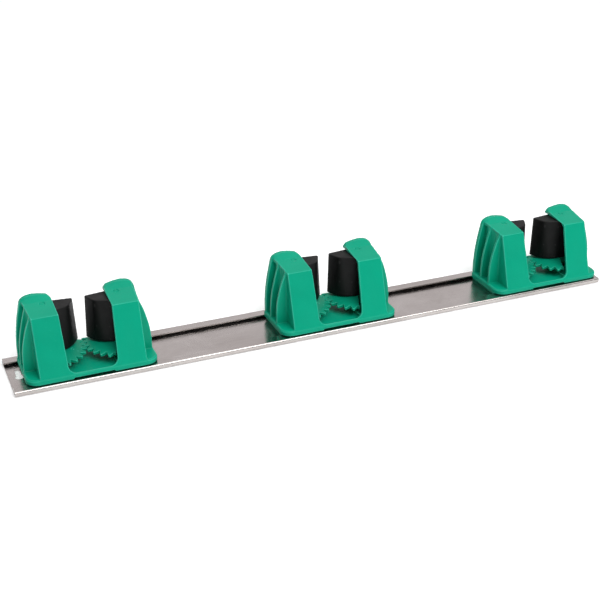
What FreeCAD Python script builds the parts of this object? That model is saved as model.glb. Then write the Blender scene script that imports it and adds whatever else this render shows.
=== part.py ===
import FreeCAD, Part
import math
import os

# Wall rail for tool handles: folded steel channel with three sliding holders.
# X runs along the rail, +Y is up on the wall, +Z points away from the wall.
# The origin is the middle of the rail's back face.  Millimetres.

V = FreeCAD.Vector

# ---- rail -------------------------------------------------------------
RAIL_LENGTH = 500.0
RAIL_WIDTH = 57.0
SHEET = 1.0
RAIL_HEIGHT = 4.0
LIP_WIDTH = 9.0
BEND_OUT = 1.3
KEYHOLE_X = 241.9
KEYHOLE_Y = -0.3
KEYHOLE_R = 3.5
KEYHOLE_SLOT_R = 2.1
KEYHOLE_TOP_Y = 12.2

# ---- holder (its Y is measured from the cam pivots, HOLDER_Y above the rail middle)
HOLDER_A_X = -190.5
HOLDER_B_X = 9.0
HOLDER_C_X = 200.6
HOLDER_Y = 5.8
BASE_HALF_X = 49.7
BASE_FRONT_Y = -32.8
BASE_REAR_Y = 13.2
BASE_TOP = 9.1
BASE_UNDER = 4.3
FRONT_CORNER_R = 9.0
REAR_CORNER_R = 2.5
FOOT_BOTTOM = 1.15
FOOT_TOP = 2.8
SLIDER_HALF_X = 47.5
SLIDER_HALF_Y = 19.2
FOOT_HALF_Y = 25.0
POCKET_HALF_X = 18.3
POCKET_FRONT_Y = -30.9
POCKET_REAR_Y = 10.7
POCKET_FLOOR = 6.7
POCKET_RIDGE = 7.5
WALL_Y = -32.1
WALL_LEAN = 17.2
WALL_THICK = 2.4
ARM_IN = 19.9
ARM_IN_LOW = 18.5
ARM_OUT = 40.2
ARM_TOP = 52.4
GAP_FILLET = 6.0
ROOF_UNDER = 52.3
ROOF_SLOPE = 0.12
CREST_Y = 8.3
CREST_THICK = 4.0
RAMP_Y = 2.6
FIN_THICK = 2.3
SKIN_X = 38.3
ROOF_OUT = 41.8

# ---- cams and gears ---------------------------------------------------
PIVOT_X = 27.9
PIN_R = 2.5
PIN_BOTTOM = 1.4
PIN_TOP = 53.1
DIMPLE_R = 2.4
DIMPLE_FLOOR = 53.9
PRESS_GAP = 0.02
RUN_GAP = 0.08
TEETH = 27
MODULE = 2.0 * PIVOT_X / TEETH
PRESSURE = 30.0
ADDENDUM = 1.6
DEDENDUM = 2.4
TOOTH_THIN = 0.10
SECTOR_REAR = 20.0
SECTOR_FRONT = 69.5
HUB_BOTTOM = 11.0
HUB_R = 8.2
GEAR_BOTTOM = 13.2
SECTOR_CLEAR_X = 17.2
SECTOR_CLEAR_Y = -25.6
CORE_TOP = 18.3
CONE_R = 11.3
CONE_SLOPE = 0.17
CORE_FLANGE_BOTTOM = 13.4
SPINDLE_R = 6.4
SPINDLE_TOP = 51.7
CAM_BOTTOM = 18.4
CAM_TOP = 52.0
CORNER_SHARE = 0.24
SHELL_IN = 11.9
SHELL_OUT = 13.7
BOSS_R = 4.8
BOSS_TOP = 10.9
SPRING_POCKET_R = 8.7
SPRING_R = 6.6
SPRING_WIRE = 0.9
SPRING_BOTTOM = 7.3
SPRING_PITCH = 0.84
SPRING_RINGS = 3

parts = {}


def box(x0, x1, y0, y1, z0, z1):
    return Part.makeBox(x1 - x0, y1 - y0, z1 - z0, V(x0, y0, z0))


def cyl(x, y, r, z0, z1):
    return Part.makeCylinder(r, z1 - z0, V(x, y, z0))


def prism_xy(points, z0, z1):
    """Prism from a plan outline."""
    loop = [V(p[0], p[1], z0) for p in points]
    loop.append(loop[0])
    return Part.Face(Part.makePolygon(loop)).extrude(V(0, 0, z1 - z0))


def prism_xz(points, y0, y1):
    """Prism from an outline seen from the front."""
    loop = [V(p[0], y0, p[1]) for p in points]
    loop.append(loop[0])
    return Part.Face(Part.makePolygon(loop)).extrude(V(0, y1 - y0, 0))


def prism_yz(points, x0, x1):
    """Prism from an outline seen along the rail."""
    loop = [V(x0, p[0], p[1]) for p in points]
    loop.append(loop[0])
    return Part.Face(Part.makePolygon(loop)).extrude(V(x1 - x0, 0, 0))


def spline(points):
    curve = Part.BSplineCurve()
    curve.interpolate(points)
    return curve.toShape()


def fuse_all(shapes):
    body = shapes[0].multiFuse(shapes[1:])
    return body.removeSplitter()


def mirror_x(shape):
    return shape.mirror(V(0, 0, 0), V(1, 0, 0))


def one_solid(shape):
    """The single solid inside a boolean result."""
    if len(shape.Solids) != 1:
        raise RuntimeError("expected one solid, got %d" % len(shape.Solids))
    return shape.Solids[0]


def roof_z(y):
    """Height of the sloping roof at a given Y."""
    return ARM_TOP + ROOF_SLOPE * (y - WALL_TOP_Y)


WALL_TOP_Y = WALL_Y + (ARM_TOP - BASE_TOP) * math.tan(math.radians(WALL_LEAN))


def roof_out(y):
    """X of the roof's outer edge at a given Y."""
    return ARM_OUT + (ROOF_OUT - ARM_OUT) * (y - WALL_TOP_Y) / (CREST_Y - WALL_TOP_Y)


# ---- rail -------------------------------------------------------------
def rail_section():
    """Outline of the folded section in the YZ plane."""
    h = RAIL_WIDTH / 2.0
    t = SHEET
    r = BEND_OUT
    q = BEND_OUT - t
    lip = h - LIP_WIDTH
    e = []
    s = math.sqrt(0.5)

    def line(a, b):
        e.append(Part.makeLine(V(0, a[0], a[1]), V(0, b[0], b[1])))

    def arc(a, c, rad, b):
        mid = V(0, c[0] + rad * c[2] * s, c[1] + rad * c[3] * s)
        e.append(Part.Arc(V(0, a[0], a[1]), mid, V(0, b[0], b[1])).toShape())

    top = RAIL_HEIGHT
    line((-h + r, 0), (h - r, 0))
    arc((h - r, 0), (h - r, r, 1, -1), r, (h, r))
    line((h, r), (h, top - r))
    arc((h, top - r), (h - r, top - r, 1, 1), r, (h - r, top))
    line((h - r, top), (lip, top))
    line((lip, top), (lip, top - t))
    line((lip, top - t), (h - r, top - t))
    arc((h - r, top - t), (h - r, top - r, 1, 1), q, (h - t, top - r))
    line((h - t, top - r), (h - t, r))
    arc((h - t, r), (h - r, r, 1, -1), q, (h - r, t))
    line((h - r, t), (-h + r, t))
    arc((-h + r, t), (-h + r, r, -1, -1), q, (-h + t, r))
    line((-h + t, r), (-h + t, top - r))
    arc((-h + t, top - r), (-h + r, top - r, -1, 1), q, (-h + r, top - t))
    line((-h + r, top - t), (-lip, top - t))
    line((-lip, top - t), (-lip, top))
    line((-lip, top), (-h + r, top))
    arc((-h + r, top), (-h + r, top - r, -1, 1), r, (-h, top - r))
    line((-h, top - r), (-h, r))
    arc((-h, r), (-h + r, r, -1, -1), r, (-h + r, 0))
    return Part.Face(Part.Wire(e))


def make_rail():
    face = rail_section()
    face.translate(V(-RAIL_LENGTH / 2.0, 0, 0))
    body = face.extrude(V(RAIL_LENGTH, 0, 0))
    for side in (-1, 1):
        x = side * KEYHOLE_X
        top = KEYHOLE_TOP_Y - KEYHOLE_SLOT_R
        hole = cyl(x, KEYHOLE_Y, KEYHOLE_R, -1, SHEET + 1)
        slot = box(x - KEYHOLE_SLOT_R, x + KEYHOLE_SLOT_R, KEYHOLE_Y, top, -1, SHEET + 1)
        end = cyl(x, top, KEYHOLE_SLOT_R, -1, SHEET + 1)
        body = body.cut(hole.fuse(slot).fuse(end))
    return one_solid(body)


# ---- housing ----------------------------------------------------------
def base_outline(grow):
    """Plan outline of the base flange, round front corners and smaller rear ones."""
    x = BASE_HALF_X + grow
    y0 = BASE_FRONT_Y - grow
    y1 = BASE_REAR_Y + grow
    a = FRONT_CORNER_R
    b = REAR_CORNER_R
    s = 1 - math.sqrt(0.5)
    edges = [
        Part.makeLine(V(-x + a, y0, 0), V(x - a, y0, 0)),
        Part.Arc(V(x - a, y0, 0), V(x - a * s, y0 + a * s, 0), V(x, y0 + a, 0)).toShape(),
        Part.makeLine(V(x, y0 + a, 0), V(x, y1 - b, 0)),
        Part.Arc(V(x, y1 - b, 0), V(x - b * s, y1 - b * s, 0), V(x - b, y1, 0)).toShape(),
        Part.makeLine(V(x - b, y1, 0), V(-x + b, y1, 0)),
        Part.Arc(V(-x + b, y1, 0), V(-x + b * s, y1 - b * s, 0), V(-x, y1 - b, 0)).toShape(),
        Part.makeLine(V(-x, y1 - b, 0), V(-x, y0 + a, 0)),
        Part.Arc(V(-x, y0 + a, 0), V(-x + a * s, y0 + a * s, 0), V(-x + a, y0, 0)).toShape(),
    ]
    return Part.Face(Part.Wire(edges))


def make_base():
    step = BASE_TOP - 1.0
    plate = base_outline(0.0).extrude(V(0, 0, step - BASE_UNDER))
    plate.translate(V(0, 0, BASE_UNDER))
    wide = base_outline(0.0).OuterWire
    wide.translate(V(0, 0, step))
    narrow = base_outline(-0.9).OuterWire
    narrow.translate(V(0, 0, BASE_TOP))
    plate = plate.fuse(Part.makeLoft([wide, narrow], True, True))
    mid = -HOLDER_Y
    front = mid - SLIDER_HALF_Y
    slider = box(-SLIDER_HALF_X, SLIDER_HALF_X, front, mid + SLIDER_HALF_Y, FOOT_BOTTOM, BASE_UNDER + 0.5)
    feet = []
    for side in (-1, 1):
        for end in (-1, 1):
            y0 = min(side * (SLIDER_HALF_Y - 1), side * FOOT_HALF_Y)
            y1 = max(side * (SLIDER_HALF_Y - 1), side * FOOT_HALF_Y)
            x0 = min(end * 24.0, end * 40.0)
            x1 = max(end * 24.0, end * 40.0)
            feet.append(box(x0, x1, mid + y0, mid + y1, FOOT_BOTTOM, FOOT_TOP))
    body = fuse_all([plate, slider] + feet)
    pocket = [(-POCKET_HALF_X, BASE_TOP + 1), (-POCKET_HALF_X, POCKET_FLOOR), (0, POCKET_RIDGE),
              (POCKET_HALF_X, POCKET_FLOOR), (POCKET_HALF_X, BASE_TOP + 1)]
    body = body.cut(prism_xz(pocket, POCKET_FRONT_Y, POCKET_REAR_Y))
    body = body.cut(box(-60, 60, BASE_FRONT_Y - 1, front - 0.3, FOOT_TOP + 0.2, 5.0))
    body = body.cut(box(-15.5, 15.5, BASE_FRONT_Y - 1, front - 0.3, FOOT_TOP + 0.2, 5.9))
    return one_solid(body)


def make_front_frame():
    """Leaning front wall of both arms with the low rim between them."""
    h = (ARM_TOP - BASE_TOP) / math.cos(math.radians(WALL_LEAN))
    low = -1.5
    rim = 0.3
    r = GAP_FILLET
    s = r * (1 - math.sqrt(0.5))
    top_out = ARM_OUT
    edges = []

    def line(a, b):
        edges.append(Part.makeLine(V(a[0], 0, a[1]), V(b[0], 0, b[1])))

    line((-ARM_OUT, low), (ARM_OUT, low))
    line((ARM_OUT, low), (top_out, h))
    line((top_out, h), (ARM_IN, h))
    low_in = ARM_IN_LOW
    line((ARM_IN, h), (low_in, rim + r))
    a = V(low_in, 0, rim + r)
    m = V(low_in - s, 0, rim + s)
    b = V(low_in - r, 0, rim)
    edges.append(Part.Arc(a, m, b).toShape())
    line((low_in - r, rim), (-low_in + r, rim))
    a = V(-low_in + r, 0, rim)
    m = V(-low_in + s, 0, rim + s)
    b = V(-low_in, 0, rim + r)
    edges.append(Part.Arc(a, m, b).toShape())
    line((-low_in, rim + r), (-ARM_IN, h))
    line((-ARM_IN, h), (-top_out, h))
    line((-top_out, h), (-ARM_OUT, low))
    frame = Part.Face(Part.Wire(edges)).extrude(V(0, WALL_THICK, 0))
    frame.rotate(V(0, 0, 0), V(1, 0, 0), -WALL_LEAN)
    frame.translate(V(0, WALL_Y, BASE_TOP))
    return frame


ARCH = [(20.1, 56.0), (24.3, 57.1), (29.3, 58.1), (34.8, 58.4), (39.6, 57.4), (42.4, 55.5)]
SIDE = [(44.3, 50.0), (45.9, 42.5), (47.3, 34.5), (48.3, 26.5), (48.8, 18.0), (48.9, BASE_TOP)]
MID_FIN_Y = -2.6
MID_FIN = [(43.4, 48.0), (45.2, 41.0), (47.0, 33.0), (48.2, 25.0), (48.8, 17.0), (48.9, BASE_TOP)]
FORE_FIN_Y = -15.6
FORE_FIN = [
    (42.3, 48.0), (43.7, 44.6), (45.4, 39.0), (47.1, 32.0),
    (48.3, 25.0), (48.8, 17.0), (48.9, BASE_TOP),
]


def make_crest():
    """Rear fin whose upper edge is the raised crest over the roof."""
    y = CREST_Y
    curve = [V(p[0], y, p[1]) for p in ARCH + SIDE]
    edges = [spline(curve)]
    tail = [SIDE[-1], (36.4, BASE_TOP), (36.4, ROOF_UNDER), (ARCH[0][0], ROOF_UNDER), ARCH[0]]
    for a, b in zip(tail[:-1], tail[1:]):
        edges.append(Part.makeLine(V(a[0], y, a[1]), V(b[0], y, b[1])))
    fin = Part.Face(Part.Wire(edges)).extrude(V(0, CREST_THICK, 0))
    low = [V(ARCH[0][0], RAMP_Y, ROOF_UNDER + 1)]
    high = [V(ARCH[0][0], y + 0.5, ROOF_UNDER + 1)]
    scale = (roof_out(RAMP_Y) - ARCH[0][0]) / (ARCH[-1][0] - ARCH[0][0])
    for x, top in ARCH:
        low.append(V(ARCH[0][0] + (x - ARCH[0][0]) * scale, RAMP_Y, roof_z(RAMP_Y) - 0.05))
        high.append(V(x, y + 0.5, top - 0.05))
    low.append(V(roof_out(RAMP_Y), RAMP_Y, ROOF_UNDER + 1))
    high.append(V(ARCH[-1][0], y + 0.5, ROOF_UNDER + 1))
    w0 = Part.makePolygon(low + [low[0]])
    w1 = Part.makePolygon(high + [high[0]])
    ramp = Part.makeLoft([w0, w1], True, True)
    return [fin, ramp]


def make_roof():
    """Sloping roof over one cam, thin above the cam, thick at the front wall."""
    back = CREST_Y + CREST_THICK
    yw = WALL_TOP_Y
    t = math.tan(math.radians(WALL_LEAN))
    z_low = ARM_TOP - 2.6
    profile = [(yw, ARM_TOP), (back, roof_z(back)), (back, ROOF_UNDER), (-13.6, ROOF_UNDER),
               (-16.6, z_low), (yw - (ARM_TOP - z_low) * t, z_low)]
    slab = prism_yz(profile, ARM_IN, 44.0)
    plan = [(ARM_IN, -30), (ARM_OUT, -30), (ARM_OUT, yw), (ROOF_OUT, CREST_Y), (ROOF_OUT, back + 1),
            (ARCH[0][0], back + 1), (ARCH[0][0], CREST_Y), (ARM_IN, 0)]
    return slab.common(prism_xy(plan, 40, 70))


def make_fin(y, curve, x_in):
    """Flat outer fin that runs up to the roof's edge; x_in is where it meets the wall behind it."""
    start = (roof_out(y + 1) + 0.1, roof_z(y) - 0.1)
    curve = [start] + curve
    pts = [V(p[0], y, p[1]) for p in curve]
    edges = [spline(pts)]
    tail = [curve[-1], (x_in, BASE_TOP), (x_in, curve[0][1]), curve[0]]
    for a, b in zip(tail[:-1], tail[1:]):
        edges.append(Part.makeLine(V(a[0], y, a[1]), V(b[0], y, b[1])))
    return Part.Face(Part.Wire(edges)).extrude(V(0, FIN_THICK, 0))


def make_shell():
    """Curved wall round the outer side of the cam, plus the skin to the front wall."""
    full = cyl(PIVOT_X, 0, SHELL_OUT, BASE_TOP, ROOF_UNDER + 0.3)
    full = full.cut(cyl(PIVOT_X, 0, SHELL_IN, 8.0, ROOF_UNDER + 1))
    a = math.radians(58)
    reach = 30.0
    keep = [(PIVOT_X + 2.0, 0), (PIVOT_X + 2.0, -reach), (PIVOT_X + reach, -reach), (PIVOT_X + reach, reach),
            (PIVOT_X + reach * math.cos(a), reach * math.sin(a))]
    ring = full.common(prism_xy(keep, 5, 60))
    skin = prism_yz([(WALL_Y + 1.2, BASE_TOP), (-4.5, BASE_TOP), (-4.5, ROOF_UNDER + 0.2),
                     (WALL_TOP_Y + 1.2, ROOF_UNDER + 0.2)], SKIN_X, SKIN_X + 1.7)
    return [ring, skin]


def make_arm():
    """Everything on one side except the shared base and front frame."""
    pieces = [make_roof()]
    pieces.extend(make_crest())
    pieces.extend(make_shell())
    pieces.append(make_fin(MID_FIN_Y, MID_FIN, PIVOT_X + SHELL_IN + 0.6))
    pieces.append(make_fin(FORE_FIN_Y, FORE_FIN, SKIN_X + 0.8))
    return fuse_all(pieces).cut(crest_corner())


def crest_corner():
    """Wedge that bevels the inner end of the crest, deeper toward the back."""
    front = [V(17.8, -8, 55.4), V(17.8, -8, 61), V(21.1, -8, 61), V(18.0, -8, 55.4)]
    back = [V(17.8, 14, 51.1), V(17.8, 14, 61), V(26.6, 14, 61), V(18.0, 14, 51.1)]
    w0 = Part.makePolygon(front + [front[0]])
    w1 = Part.makePolygon(back + [back[0]])
    return Part.makeLoft([w0, w1], True, True)


def make_housing():
    arm = make_arm()
    body = fuse_all([make_base(), make_front_frame(), arm, mirror_x(arm)])
    for side in (-1, 1):
        x = side * PIVOT_X
        body = body.cut(cyl(x, 0, SPRING_POCKET_R, 7.0, BASE_TOP + 0.5))
        body = body.fuse(cyl(x, 0, BOSS_R, 6.5, BOSS_TOP))
        body = body.cut(cyl(x, 0, PIN_R + PRESS_GAP, 0, BOSS_TOP + 1))
        body = body.cut(cyl(x, 0, PIN_R + PRESS_GAP, ROOF_UNDER - 2, PIN_TOP + 0.1))
        body = body.cut(cyl(x, 0, DIMPLE_R, DIMPLE_FLOOR, 62))
    return one_solid(body.removeSplitter())


# ---- gear cores and cams (built for the right-hand pivot) --------------
def polar(theta, r):
    """Point at angle theta from the inward direction, positive toward +Y."""
    a = math.radians(theta)
    return (PIVOT_X - r * math.cos(a), r * math.sin(a))


def involute_angle(r, base_r):
    """Involute polar angle in degrees at radius r."""
    c = base_r / r
    a = math.acos(c)
    return math.degrees(math.tan(a) - a)


def gear_face(offset):
    """Full toothed disc outline; offset is the phase in tooth pitches."""
    pitch_r = TEETH * MODULE / 2.0
    base_r = pitch_r * math.cos(math.radians(PRESSURE))
    tip_r = pitch_r + ADDENDUM
    root_r = pitch_r - DEDENDUM
    step = 360.0 / TEETH
    half = 90.0 / TEETH - math.degrees(TOOTH_THIN / 2.0 / pitch_r)
    zero = involute_angle(pitch_r, base_r)
    radii = []
    for i in range(5):
        radii.append(root_r + (tip_r - root_r) * i / 4.0)
    edges = []
    last = None
    first = None
    for k in range(TEETH):
        centre = (k + offset) * step
        up = []
        down = []
        for r in radii:
            w = half + zero - involute_angle(r, base_r)
            up.append(V(*polar(centre - w, r)))
            down.append(V(*polar(centre + w, r)))
        down.reverse()
        if last is not None:
            edges.append(Part.makeLine(last, up[0]))
        else:
            first = up[0]
        edges.append(spline(up))
        edges.append(Part.makeLine(up[-1], down[0]))
        edges.append(spline(down))
        last = down[-1]
    edges.append(Part.makeLine(last, first))
    return Part.Face(Part.Wire(edges))


def make_core(offset):
    """Gear sector with conical top, hub and hexagonal spindle."""
    disc = gear_face(offset)
    disc.translate(V(0, 0, GEAR_BOTTOM))
    disc = disc.extrude(V(0, 0, CORE_TOP - GEAR_BOTTOM))
    steps = 18
    wedge = [(PIVOT_X, 0)]
    for i in range(steps + 1):
        th = SECTOR_REAR - (SECTOR_REAR + SECTOR_FRONT) * i / steps
        wedge.append(polar(th, 40))
    sector = disc.common(prism_xy(wedge, 0, 40))
    reach = 40.0
    drop = CONE_SLOPE * (reach - CONE_R)
    over = Part.makeCone(reach, CONE_R, drop, V(PIVOT_X, 0, CORE_TOP - drop))
    sector = sector.common(over.fuse(cyl(PIVOT_X, 0, reach, 0, CORE_TOP - drop)))
    sector = sector.cut(box(SECTOR_CLEAR_X, 60, -60, SECTOR_CLEAR_Y, 0, 40))
    flange = cyl(PIVOT_X, 0, CONE_R - 0.6, CORE_FLANGE_BOTTOM, CORE_TOP)
    hub = cyl(PIVOT_X, 0, HUB_R, HUB_BOTTOM, CORE_TOP)
    hexagon = []
    for k in range(6):
        hexagon.append(polar(30 + 60 * k, SPINDLE_R))
    spindle = prism_xy(hexagon, CORE_TOP - 1, SPINDLE_TOP)
    body = fuse_all([sector, flange, hub, spindle])
    body = body.cut(cyl(PIVOT_X, 0, PIN_R + RUN_GAP, 0, 60))
    return one_solid(body)


def cam_wire(z, nose, c1, c2, c3, rear, bulge):
    """Closed cam outline; bulge pushes the two front edges outward."""
    def at(p):
        q = polar(p[0], p[1])
        return V(q[0], q[1], z)

    def arc(a, b, m):
        return Part.Arc(a, m, b).toShape()

    edges = []
    tip_f = (nose[0] - 3.0, nose[1] - 0.15)
    tip_r = (nose[0] + 2.6, nose[1] - 0.55)
    edges.append(arc(at(tip_r), at(tip_f), at((nose[0], nose[1] + 0.12))))
    def bowed(a, b, push):
        m = V((a.x + b.x) / 2, (a.y + b.y) / 2, z)
        out = V(m.x - PIVOT_X, m.y, 0)
        out.normalize()
        return Part.Arc(a, m + out * push, b)

    def part_of(curve, t0, t1):
        span = curve.LastParameter - curve.FirstParameter
        a, m, b = [curve.value(curve.FirstParameter + span * t) for t in (t0, (t0 + t1) / 2, t1)]
        return arc(a, b, m), a, b

    corner = at(c1)
    inner, start, before = part_of(bowed(at(tip_f), corner, bulge[0]), 0.0, 1.0 - CORNER_SHARE)
    outer, after, end = part_of(bowed(corner, at(c2), bulge[1]), CORNER_SHARE, 1.0)
    edges.append(inner)
    edges.append(arc(before, after, (before + after) * 0.25 + corner * 0.5))
    edges.append(outer)
    edges.append(arc(end, at(rear), at(c3)))
    edges.append(Part.makeLine(at(rear), at(tip_r)))
    return Part.Wire(edges)


def make_cam():
    low = cam_wire(CAM_BOTTOM, (13.0, 25.0), (-19.0, 18.8), (-72.0, 11.6), (170.0, 9.8), (96.0, 10.2),
                   (0.55, 1.75))
    high = cam_wire(CAM_TOP, (15.0, 23.8), (-16.5, 18.9), (-66.0, 10.9), (170.0, 9.4), (96.0, 9.9),
                    (0.12, 0.25))
    body = Part.makeLoft([low, high], True, True)
    hexagon = []
    for k in range(6):
        hexagon.append(polar(30 + 60 * k, SPINDLE_R + PRESS_GAP * 2))
    body = body.cut(prism_xy(hexagon, 0, 60))
    return one_solid(body)


def make_pin():
    """Plain steel pin with small lead-in chamfers."""
    c = 0.35
    pts = [V(0, 0, PIN_BOTTOM), V(PIN_R - c, 0, PIN_BOTTOM), V(PIN_R, 0, PIN_BOTTOM + c),
           V(PIN_R, 0, PIN_TOP - c), V(PIN_R - c, 0, PIN_TOP), V(0, 0, PIN_TOP)]
    pts.append(pts[0])
    pin = Part.Face(Part.makePolygon(pts)).revolve(V(0, 0, 0), V(0, 0, 1), 360)
    pin.translate(V(PIVOT_X, 0, 0))
    return pin


def make_spring():
    """Closed return coil round the boss, its turns lying on each other."""
    rings = []
    for k in range(SPRING_RINGS):
        centre = V(SPRING_R, 0, SPRING_BOTTOM + SPRING_WIRE / 2.0 + SPRING_PITCH * k)
        circle = Part.makeCircle(SPRING_WIRE / 2.0, centre, V(0, 1, 0))
        rings.append(Part.Face(Part.Wire(circle)))
    section = fuse_all(rings)
    coil = section.Faces[0].revolve(V(0, 0, 0), V(0, 0, 1), 360)
    coil.translate(V(PIVOT_X, 0, 0))
    return one_solid(coil)


def place(shape, x):
    moved = shape.copy()
    moved.translate(V(x, HOLDER_Y, 0))
    return moved


housing = make_housing()
cam = make_cam()
pin = make_pin()
spring = make_spring()
core_right = make_core(0.5)
core_left = mirror_x(make_core(0.0))

parts["rail"] = make_rail()
for name, x in (("a", HOLDER_A_X), ("b", HOLDER_B_X), ("c", HOLDER_C_X)):
    parts["housing_" + name] = place(housing, x)
    parts["gear_core_left_" + name] = place(core_left, x)
    parts["gear_core_right_" + name] = place(core_right, x)
    parts["cam_left_" + name] = place(mirror_x(cam), x)
    parts["cam_right_" + name] = place(cam, x)
    parts["pin_left_" + name] = place(mirror_x(pin), x)
    parts["pin_right_" + name] = place(pin, x)
    parts["spring_left_" + name] = place(mirror_x(spring), x)
    parts["spring_right_" + name] = place(spring, x)

os.makedirs("parts", exist_ok=True)
for name in sorted(parts):
    parts[name].exportStep("parts/" + name + ".step")
    print(name, parts[name].ShapeType, round(parts[name].Volume, 1), parts[name].isValid())
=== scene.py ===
import math

import bpy
from mathutils import Matrix, Vector


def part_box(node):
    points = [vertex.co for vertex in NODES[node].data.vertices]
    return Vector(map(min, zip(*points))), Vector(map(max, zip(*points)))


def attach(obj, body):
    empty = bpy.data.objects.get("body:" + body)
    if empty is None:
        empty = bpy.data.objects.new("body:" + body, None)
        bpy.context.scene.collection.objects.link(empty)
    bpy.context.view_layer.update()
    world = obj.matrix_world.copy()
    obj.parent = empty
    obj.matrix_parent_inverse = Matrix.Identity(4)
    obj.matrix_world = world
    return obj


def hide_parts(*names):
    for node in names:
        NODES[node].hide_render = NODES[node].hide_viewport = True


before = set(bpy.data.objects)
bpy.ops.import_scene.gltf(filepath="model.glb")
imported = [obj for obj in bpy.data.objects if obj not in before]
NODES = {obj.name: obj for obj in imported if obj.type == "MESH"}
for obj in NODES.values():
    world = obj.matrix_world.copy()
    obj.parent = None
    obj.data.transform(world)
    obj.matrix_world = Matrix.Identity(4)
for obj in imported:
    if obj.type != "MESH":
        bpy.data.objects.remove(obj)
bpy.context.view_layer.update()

HOLDERS = ("a", "b", "c")
SIDES = ("left", "right")

# Voxel size in metres and smoothing passes of each rounded copy
HOUSING_VOXEL, HOUSING_PASSES = 0.00042, 3
CORE_VOXEL, CORE_PASSES = 0.0003, 3
CAM_VOXEL, CAM_PASSES = 0.00045, 5

# Stage sheet: side in metres, faces along a side, height just under the rail
FLOOR_SIZE, FLOOR_CELLS, FLOOR_HEIGHT = 12.0, 8, -0.0004
FLOOR_GLOW = 0.22

# Lights: name, place, target, size (all in metres), watts, colour
WHITE = (1.0, 1.0, 1.0)
LIGHTS = (
    ("top_box", (0.1, 0.1, 1.5), (0.0, 0.0, 0.0), (3.2, 2.2), 25.0, WHITE),
    ("front_box", (0.45, -1.5, 1.9), (0.0, 0.0, 0.03), (1.6, 1.2), 35.0, WHITE),
    ("back_card", (1.1, 2.6, 1.25), (0.0, 0.0, 0.1), (4.5, 1.5), 11.5, (1.0, 0.945, 0.955)),
)
SKY_STRENGTH = 0.28

# Camera: place in metres, heading from +Y towards +X, tilt down, roll, lens in mm
CAMERA_PLACE = (-0.33905, -0.80653, 0.4416)
HEADING = math.radians(21.826)
DOWN = math.radians(25.816)
ROLL = math.radians(-0.62)
SENSOR_MM = 36.0
LENS_MM = 72.34


# ---------------------------------------------------------------- shader helpers
class Shader:
    """A Principled material that is put together from procedural nodes."""

    def __init__(self, name, **fixed):
        self.mat = bpy.data.materials.new(name)
        self.mat.use_nodes = True
        self.tree = self.mat.node_tree
        self.bsdf = self.tree.nodes["Principled BSDF"]
        self.coord = self.add("ShaderNodeTexCoord").outputs["Object"]
        for key, value in fixed.items():
            self.bsdf.inputs[key.replace("_", " ")].default_value = value

    def add(self, kind, **props):
        made = self.tree.nodes.new(kind)
        for key, value in props.items():
            setattr(made, key, value)
        return made

    def link(self, start, end):
        self.tree.links.new(start, end)

    def stretched(self, scale):
        mapping = self.add("ShaderNodeMapping")
        mapping.inputs["Scale"].default_value = scale
        self.link(self.coord, mapping.inputs["Vector"])
        return mapping.outputs["Vector"]

    def noise(self, scale, detail=2.0, rough=0.5, distort=0.0, vector=None):
        made = self.add("ShaderNodeTexNoise")
        made.inputs["Scale"].default_value = scale
        made.inputs["Detail"].default_value = detail
        made.inputs["Roughness"].default_value = rough
        made.inputs["Distortion"].default_value = distort
        self.link(vector or self.coord, made.inputs["Vector"])
        return made.outputs["Fac"]

    def ramp(self, source, low, high, colour_low, colour_high):
        made = self.add("ShaderNodeValToRGB")
        first, last = made.color_ramp.elements
        first.position, last.position = low, high
        first.color = (*colour_low, 1.0)
        last.color = (*colour_high, 1.0)
        self.link(source, made.inputs["Fac"])
        return made.outputs["Color"]

    def span(self, source, low, high, out_low, out_high):
        made = self.add("ShaderNodeMapRange")
        for key, value in (("From Min", low), ("From Max", high),
                           ("To Min", out_low), ("To Max", out_high)):
            made.inputs[key].default_value = value
        self.link(source, made.inputs["Value"])
        return made.outputs["Result"]

    def mix(self, factor, one, two):
        """Colour one where factor is 0, colour two where it is 1."""
        made = self.add("ShaderNodeMix", data_type="RGBA")
        sockets = [s for s in made.inputs if s.enabled]
        for socket, value in zip(sockets, (factor, one, two)):
            if isinstance(value, (int, float)):
                socket.default_value = value
            elif isinstance(value, tuple):
                socket.default_value = (*value, 1.0)
            else:
                self.link(value, socket)
        return [s for s in made.outputs if s.enabled][0]

    def bump(self, height, strength, distance, normal=None):
        made = self.add("ShaderNodeBump")
        made.inputs["Strength"].default_value = strength
        made.inputs["Distance"].default_value = distance
        self.link(height, made.inputs["Height"])
        if normal is not None:
            self.link(normal, made.inputs["Normal"])
        return made.outputs["Normal"]

    def pointiness(self):
        return self.add("ShaderNodeNewGeometry").outputs["Pointiness"]

    def finish(self, colour, rough, normal):
        self.link(colour, self.bsdf.inputs["Base Color"])
        self.link(rough, self.bsdf.inputs["Roughness"])
        self.link(normal, self.bsdf.inputs["Normal"])
        return self.mat


# ---------------------------------------------------------------- materials
def scaled(colour, factor):
    return tuple(c * factor for c in colour)


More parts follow.
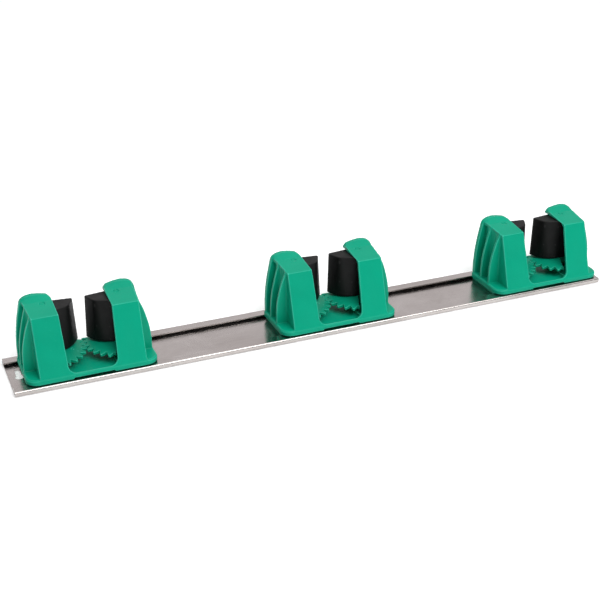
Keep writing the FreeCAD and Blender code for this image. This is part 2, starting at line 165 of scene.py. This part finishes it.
def green_plastic(name, base, pale_speck_and_edge_highlight):
    """Satin moulded plastic: faint flow marks, fine spark-eroded grain, paler specks, a painted
    highlight on convex edges and painted shade in creases.
    """
    s = Shader(name, Specular_IOR_Level=0.10)
    flow = s.noise(18.0, detail=3.0, distort=0.6)
    body = s.ramp(flow, 0.35, 0.68, scaled(base, 0.93), scaled(base, 1.05))
    speck = s.noise(900.0, detail=2.0)
    body = s.mix(s.span(speck, 0.64, 0.78, 0.0, 0.08), body, pale_speck_and_edge_highlight)
    # painted highlight: convex edges are mixed towards the pale colour
    painted_edge_highlight = s.span(s.pointiness(), 0.512, 0.56, 0.0, 0.85)
    body = s.mix(painted_edge_highlight, body, pale_speck_and_edge_highlight)
    # painted shade: concave creases are mixed towards half the base colour
    painted_crease_shade = s.span(s.pointiness(), 0.485, 0.43, 0.0, 0.45)
    body = s.mix(painted_crease_shade, body, scaled(base, 0.5))
    rough = s.span(s.noise(60.0, detail=4.0), 0.3, 0.7, 0.30, 0.42)
    wave = s.bump(s.noise(35.0, detail=1.0), 0.25, 0.0006)
    grain = s.bump(s.noise(3800.0, detail=2.0), 0.10, 0.00006, wave)
    return s.finish(body, rough, grain)


def black_rubber(name):
    """Soft black elastomer: matt skin with moulding mottle, dust specks and a painted highlight on
    its convex edges.
    """
    s = Shader(name, Specular_IOR_Level=0.22)
    cloud = s.noise(45.0, detail=4.0, distort=0.4)
    body = s.ramp(cloud, 0.3, 0.7, (0.0009, 0.0009, 0.001), (0.0024, 0.0023, 0.0025))
    dust = s.span(s.noise(1500.0, detail=1.0), 0.70, 0.80, 0.0, 0.5)
    body = s.mix(dust, body, (0.022, 0.022, 0.023))
    # painted highlight: convex edges are mixed towards a paler grey
    painted_edge_highlight = s.span(s.pointiness(), 0.515, 0.57, 0.0, 0.55)
    body = s.mix(painted_edge_highlight, body, (0.028, 0.027, 0.028))
    rough = s.span(s.noise(120.0, detail=3.0), 0.3, 0.7, 0.44, 0.58)
    soft = s.bump(s.noise(90.0, detail=2.0), 0.2, 0.0004)
    grain = s.bump(s.noise(2600.0, detail=3.0), 0.16, 0.00008, soft)
    return s.finish(body, rough, grain)


def rail_steel(name):
    """Bright rolled stainless sheet: lengthwise mill grain, hazy patches, faint scratches."""
    s = Shader(name, Metallic=1.0)
    patch = s.noise(22.0, detail=5.0, rough=0.6, distort=0.8)
    body = s.ramp(patch, 0.30, 0.72, (0.44, 0.405, 0.39), (0.58, 0.545, 0.53))
    grain = s.noise(1.0, detail=3.0, vector=s.stretched((14.0, 2600.0, 2600.0)))
    body = s.mix(s.span(grain, 0.3, 0.7, 0.0, 0.22), body, (0.36, 0.33, 0.32))
    rough = s.span(patch, 0.3, 0.7, 0.15, 0.27)
    dent = s.bump(s.noise(26.0, detail=2.0), 0.35, 0.0008)
    lines = s.bump(grain, 0.10, 0.00006, dent)
    return s.finish(body, rough, lines)


def turned_steel(name, base, low, high):
    """Drawn wire and turned pins: fine lines round the axis and small roughness changes."""
    s = Shader(name, Metallic=1.0)
    fine = s.noise(1.0, detail=2.0, vector=s.stretched((300.0, 300.0, 5200.0)))
    body = s.ramp(fine, 0.3, 0.7, scaled(base, 0.8), base)
    rough = s.span(s.noise(400.0, detail=2.0), 0.3, 0.7, low, high)
    return s.finish(body, rough, s.bump(fine, 0.2, 0.00005))


HOUSING_GREEN = green_plastic("housing_green", (0.0008, 0.315, 0.190), (0.07, 0.55, 0.40))
# The gear cores get a darker copy of the housing green: painted shade for the cores that sit under
# the cams.
SHADED_GEAR_GREEN = green_plastic("gear_green_shaded", (0.0008, 0.270, 0.158), (0.05, 0.48, 0.34))
RUBBER = black_rubber("cam_rubber")
RAIL = rail_steel("rail_stainless")
PIN = turned_steel("pin_turned", (0.60, 0.59, 0.58), 0.18, 0.34)
SPRING = turned_steel("spring_wire", (0.42, 0.41, 0.40), 0.25, 0.40)


def paint(obj, mat):
    """Gives obj one material, whatever slots it has."""
    if not obj.data.materials:
        obj.data.materials.append(mat)
    for i in range(len(obj.data.materials)):
        obj.data.materials[i] = mat


# ---------------------------------------------------------------- soft moulded copies
def baked(obj):
    """The object's mesh with its modifiers applied."""
    graph = bpy.context.evaluated_depsgraph_get()
    return bpy.data.meshes.new_from_object(obj.evaluated_get(graph))


def softened(node, origin, voxel, passes):
    """A copy of a CAD node about origin, with its sharp edges rounded as a mould leaves them."""
    mesh = NODES[node].data.copy()
    mesh.transform(Matrix.Translation(-origin))
    work = bpy.data.objects.new("work", mesh)
    bpy.context.scene.collection.objects.link(work)
    remesh = work.modifiers.new("skin", "REMESH")
    remesh.mode = "VOXEL"
    remesh.voxel_size = voxel
    smooth = work.modifiers.new("soften", "SMOOTH")
    smooth.factor = 0.5
    smooth.iterations = passes
    made = baked(work)
    bpy.data.objects.remove(work)
    for poly in made.polygons:
        poly.use_smooth = True
    return made


def holder_origin(holder):
    low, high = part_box("housing_" + holder)
    return Vector(((low.x + high.x) / 2, 0.0, 0.0))


def stand_in(mesh, name, node, body, origin, mat):
    """A piece that shows mesh in place of a CAD node and moves with its body."""
    piece = bpy.data.objects.new(name, mesh)
    bpy.context.scene.collection.objects.link(piece)
    piece.location = origin
    paint(piece, mat)
    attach(piece, body)
    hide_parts(node)
    return piece


ORIGIN = {h: holder_origin(h) for h in HOLDERS}
FIRST = ORIGIN["a"]

HOUSING_MESH = softened("housing_a", FIRST, HOUSING_VOXEL, HOUSING_PASSES)
for holder in HOLDERS:
    stand_in(HOUSING_MESH, "moulded_housing_" + holder, "housing_" + holder,
             "holder_" + holder, ORIGIN[holder], HOUSING_GREEN)

for side in SIDES:
    core_mesh = softened("gear_core_%s_a" % side, FIRST, CORE_VOXEL, CORE_PASSES)
    cam_mesh = softened("cam_%s_a" % side, FIRST, CAM_VOXEL, CAM_PASSES)
    for holder in HOLDERS:
        tail = side + "_" + holder
        body = "%s_cam_%s" % (side, holder)
        stand_in(core_mesh, "moulded_core_" + tail, "gear_core_" + tail, body,
                 ORIGIN[holder], SHADED_GEAR_GREEN)
        stand_in(cam_mesh, "moulded_cam_" + tail, "cam_" + tail, body,
                 ORIGIN[holder], RUBBER)
        paint(NODES["pin_" + tail], PIN)
        paint(NODES["spring_" + tail], SPRING)

paint(NODES["rail"], RAIL)

# ---------------------------------------------------------------- floor, light, camera
def grid(name, size, cells, height):
    """A flat stage sheet made of cells by cells faces."""
    mesh = bpy.data.meshes.new(name)
    step = size / cells
    points = [(-size / 2 + i * step, -size / 2 + j * step, height)
              for j in range(cells + 1) for i in range(cells + 1)]
    row = cells + 1
    faces = [(j * row + i, j * row + i + 1, (j + 1) * row + i + 1, (j + 1) * row + i)
             for j in range(cells) for i in range(cells)]
    mesh.from_pydata(points, [], faces)
    made = bpy.data.objects.new(name, mesh)
    bpy.context.scene.collection.objects.link(made)
    return made


floor = grid("floor", FLOOR_SIZE, FLOOR_CELLS, FLOOR_HEIGHT)
paper = Shader("floor_paper", Specular_IOR_Level=0.1, Emission_Color=(*WHITE, 1.0),
               Emission_Strength=FLOOR_GLOW)
paper_colour = paper.ramp(paper.noise(3.0), 0.3, 0.7, (0.90, 0.90, 0.90), (0.94, 0.94, 0.94))
paper_rough = paper.span(paper.noise(40.0), 0.3, 0.7, 0.8, 0.9)
floor.data.materials.append(
    paper.finish(paper_colour, paper_rough, paper.bump(paper.noise(300.0), 0.05, 0.0002)))


def area_light(name, place, target, size, energy, colour):
    data = bpy.data.lights.new(name, "AREA")
    data.shape = "RECTANGLE"
    data.size, data.size_y = size
    data.energy = energy
    data.color = colour
    lamp = bpy.data.objects.new(name, data)
    bpy.context.scene.collection.objects.link(lamp)
    lamp.location = place
    aim = Vector(target) - Vector(place)
    lamp.rotation_mode = "QUATERNION"
    lamp.rotation_quaternion = aim.to_track_quat("-Z", "Y")
    return lamp


for light in LIGHTS:
    area_light(*light)

world = bpy.data.worlds.new("studio")
bpy.context.scene.world = world
world.use_nodes = True
sky = world.node_tree.nodes["Background"]
sky.inputs["Color"].default_value = (*WHITE, 1.0)
sky.inputs["Strength"].default_value = SKY_STRENGTH

bpy.context.scene.view_settings.view_transform = "Standard"

ahead = Vector((math.sin(HEADING) * math.cos(DOWN),
                math.cos(HEADING) * math.cos(DOWN), -math.sin(DOWN)))
level = Vector((math.cos(HEADING), -math.sin(HEADING), 0.0))
above = level.cross(ahead)
right = math.cos(ROLL) * level + math.sin(ROLL) * above
up = math.cos(ROLL) * above - math.sin(ROLL) * level
camera_data = bpy.data.cameras.new("camera")
camera_data.sensor_width = SENSOR_MM
camera_data.lens = LENS_MM
camera = bpy.data.objects.new("camera", camera_data)
bpy.context.scene.collection.objects.link(camera)
turn = Matrix((right, up, -ahead)).transposed()
camera.matrix_world = Matrix.Translation(CAMERA_PLACE) @ turn.to_4x4()
bpy.context.scene.camera = camera
